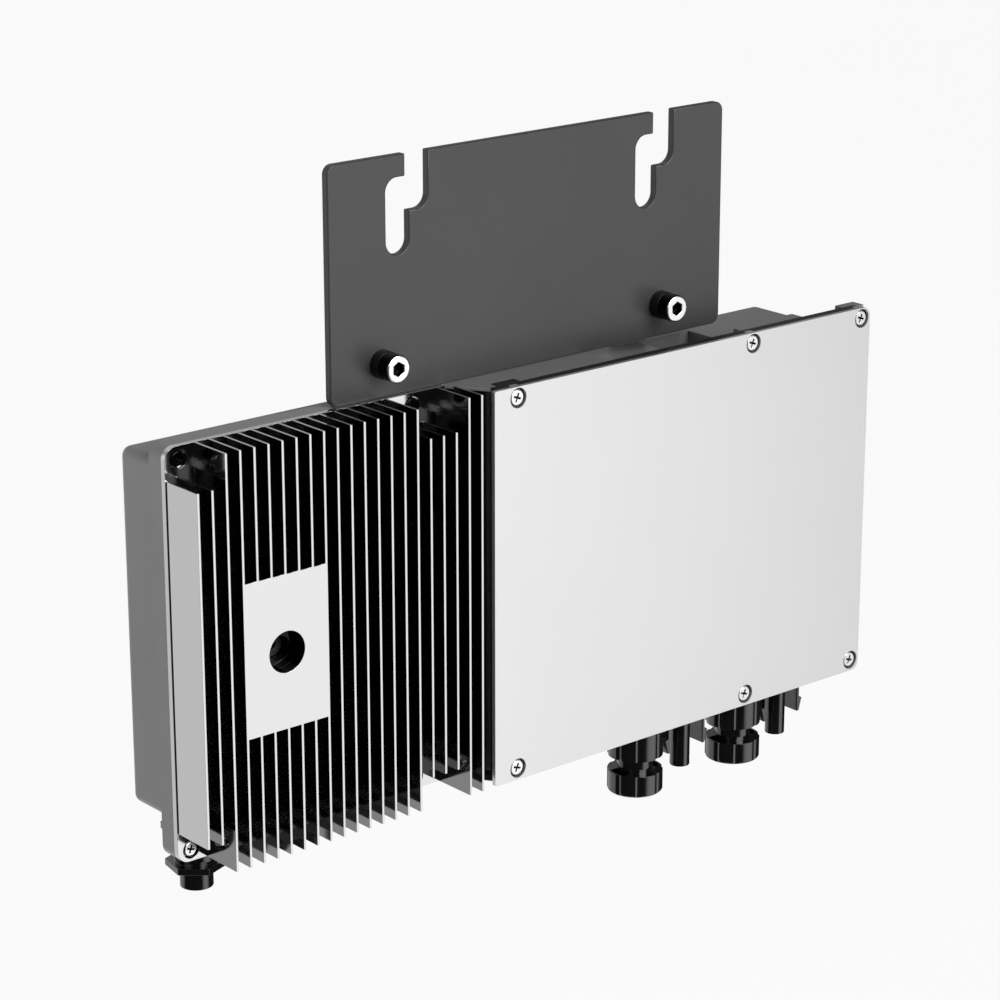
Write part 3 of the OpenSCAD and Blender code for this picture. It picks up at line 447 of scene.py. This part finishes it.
def floor():
    """A wide pale floor, FLOOR_DROP below the hanging unit. It glows, and polished faces don't see it."""
    mesh = bpy.data.meshes.new("floor")
    corners = [(x * FLOOR_HALF, y * FLOOR_HALF, 0.0) for x, y in ((-1, -1), (1, -1), (1, 1), (-1, 1))]
    mesh.from_pydata(corners, [], [(0, 1, 2, 3)])
    obj = bpy.data.objects.new("floor", mesh)
    obj.location = (0.0, 0.0, low[2] - FLOOR_DROP)
    scene.collection.objects.link(obj)
    n = Nodes("floor_pale")
    n.link(n.ramp(n.noise(3.0), [(0.3, (0.029,) * 3), (0.7, (0.031,) * 3)]), n.shader.inputs["Base Color"])
    n.shader.inputs["Roughness"].default_value = 0.9
    n.shader.inputs["Emission Color"].default_value = (1.0, 1.0, 1.0, 1.0)
    n.shader.inputs["Emission Strength"].default_value = FLOOR_GLOW
    finish(obj, n.material)
    obj.visible_glossy = False


def softbox(name, offset, size, power):
    """A rectangular area light at offset from the middle of the unit, aimed at it."""
    data = bpy.data.lights.new(name, "AREA")
    data.shape = "RECTANGLE"
    data.size, data.size_y = size
    data.energy = power
    obj = bpy.data.objects.new(name, data)
    obj.location = middle + Vector(offset)
    obj.rotation_mode = "QUATERNION"
    obj.rotation_quaternion = Vector(offset).to_track_quat("Z", "Y")
    scene.collection.objects.link(obj)


# Softboxes: offset and size in metres, power in watts
SOFTBOXES = {
    "key": ((0.3, -1.5, 0.75), (1.2, 1.2), 34.0),
    "left": ((-1.5, -0.2, 0.4), (0.9, 1.4), 3.0),
}
# Bright areas of the studio: azimuth, elevation, radius of full strength and of none, all in degrees,
# then strength. Elsewhere the studio is DARK.
LOBES = [
    (300.0, -18.0, 4.0, 28.0, 1.65),
    (100.0, -20.0, 34.0, 46.0, 0.95),
    (90.0, 22.0, 20.0, 52.0, 0.8),
    (196.0, 38.0, 6.0, 30.0, 0.5),
    (0.0, -90.0, 25.0, 58.0, 0.75),
]
DARK = 0.022


def world():
    """A dark studio with soft bright areas where the polished faces reflect light."""
    w = bpy.data.worlds.new("studio")
    scene.world = w
    w.use_nodes = True
    tree = w.node_tree
    tree.nodes.clear()
    out = tree.nodes.new("ShaderNodeOutputWorld")
    back = tree.nodes.new("ShaderNodeBackground")
    tree.links.new(back.outputs["Background"], out.inputs["Surface"])
    coords = tree.nodes.new("ShaderNodeTexCoord")
    total = None
    for azimuth, elevation, full, zero, strength in LOBES:
        a, e = math.radians(azimuth), math.radians(elevation)
        dot = tree.nodes.new("ShaderNodeVectorMath")
        dot.operation = "DOT_PRODUCT"
        dot.inputs[1].default_value = (math.cos(e) * math.cos(a), math.cos(e) * math.sin(a), math.sin(e))
        tree.links.new(coords.outputs["Generated"], dot.inputs[0])
        lobe = tree.nodes.new("ShaderNodeMapRange")
        lobe.interpolation_type = "SMOOTHSTEP"
        lobe.inputs["From Min"].default_value = math.cos(math.radians(zero))
        lobe.inputs["From Max"].default_value = math.cos(math.radians(full))
        lobe.inputs["To Min"].default_value = 0.0
        lobe.inputs["To Max"].default_value = strength
        tree.links.new(dot.outputs["Value"], lobe.inputs["Value"])
        add = tree.nodes.new("ShaderNodeMath")
        add.operation = "ADD"
        tree.links.new(lobe.outputs["Result"], add.inputs[0])
        if total is None:
            add.inputs[1].default_value = DARK
        else:
            tree.links.new(total, add.inputs[1])
        total = add.outputs["Value"]
    tree.links.new(total, back.inputs["Strength"])


floor()
world()
for name, (offset, size, power) in SOFTBOXES.items():
    softbox(name, offset, size, power)

# Place in metres, angles in degrees, lens and sensor in millimetres
CAMERA_PLACE = (-0.61987, -0.72875, 0.19827)
CAMERA_AZIMUTH, CAMERA_ELEVATION, CAMERA_ROLL = -40.01, 17.72, 0.063
LENS, SENSOR = 113.47, 36.0

camera_data = bpy.data.cameras.new("camera")
camera_data.lens = LENS
camera_data.sensor_width = SENSOR
camera_data.dof.use_dof = False
camera = bpy.data.objects.new("camera", camera_data)
azimuth, elevation = math.radians(CAMERA_AZIMUTH), math.radians(CAMERA_ELEVATION)
back = Vector((
    math.sin(azimuth) * math.cos(elevation),
    -math.cos(azimuth) * math.cos(elevation),
    math.sin(elevation),
))
camera.location = CAMERA_PLACE
camera.rotation_mode = "QUATERNION"
camera.rotation_quaternion = Quaternion(back, -math.radians(CAMERA_ROLL)) @ back.to_track_quat("Z", "Y")
scene.collection.objects.link(camera)
scene.camera = camera
